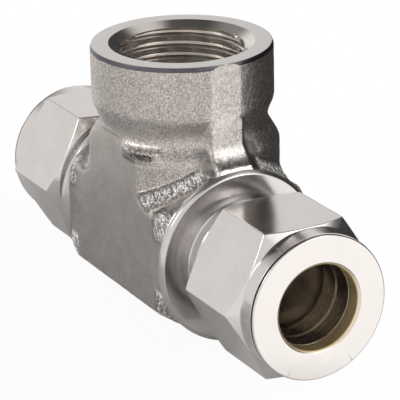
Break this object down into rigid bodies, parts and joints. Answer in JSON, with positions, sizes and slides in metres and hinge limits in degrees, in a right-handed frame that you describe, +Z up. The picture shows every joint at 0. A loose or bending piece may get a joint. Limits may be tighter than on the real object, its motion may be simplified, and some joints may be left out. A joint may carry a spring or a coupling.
{
  "type": "compression fitting",
  "caption": "Branch tee with a hex compression nut and ferrules on each run end for tube, and a female taper pipe thread on the branch.",
  "frame": {"origin": "where the run axis crosses the branch axis", "axes": "+X along the run towards the right nut, +Z up along the branch towards its threaded mouth, Y across the wrench flats"},
  "size_m": [0.0784, 0.0276, 0.0424],
  "materials": {
    "forged_steel": "blasted forging with machined faces",
    "nut_steel": "fine machined",
    "ferrule_steel": "turned, pale gold tint"
  },
  "bodies": {
    "tee": {"tee_body": "forged_steel"},
    "right_ferrules": {"front_ferrule_right": "ferrule_steel", "back_ferrule_right": "ferrule_steel"},
    "left_ferrules": {"front_ferrule_left": "ferrule_steel", "back_ferrule_left": "ferrule_steel"},
    "right_nut": {"nut_right": "nut_steel"},
    "left_nut": {"nut_left": "nut_steel"}
  },
  "joints": [
    {"name": "right_nut_travel", "type": "slide", "parent": "tee", "child": "right_ferrules", "axis": [1, 0, 0], "range_m": [0, 0.00763]},
    {"name": "right_nut_turn", "type": "hinge", "parent": "right_ferrules", "child": "right_nut", "pos_m": [0.03, 0, 0], "axis": [1, 0, 0], "range_deg": [0, 2160]},
    {"name": "left_nut_travel", "type": "slide", "parent": "tee", "child": "left_ferrules", "axis": [-1, 0, 0], "range_m": [0, 0.00763]},
    {"name": "left_nut_turn", "type": "hinge", "parent": "left_ferrules", "child": "left_nut", "pos_m": [-0.03, 0, 0], "axis": [-1, 0, 0], "range_deg": [0, 2160]}
  ],
  "couplings": [
    {"joint": "right_nut_travel", "follows": "right_nut_turn", "m_per_rad": 0.00020213},
    {"joint": "left_nut_travel", "follows": "left_nut_turn", "m_per_rad": 0.00020213}
  ]
}
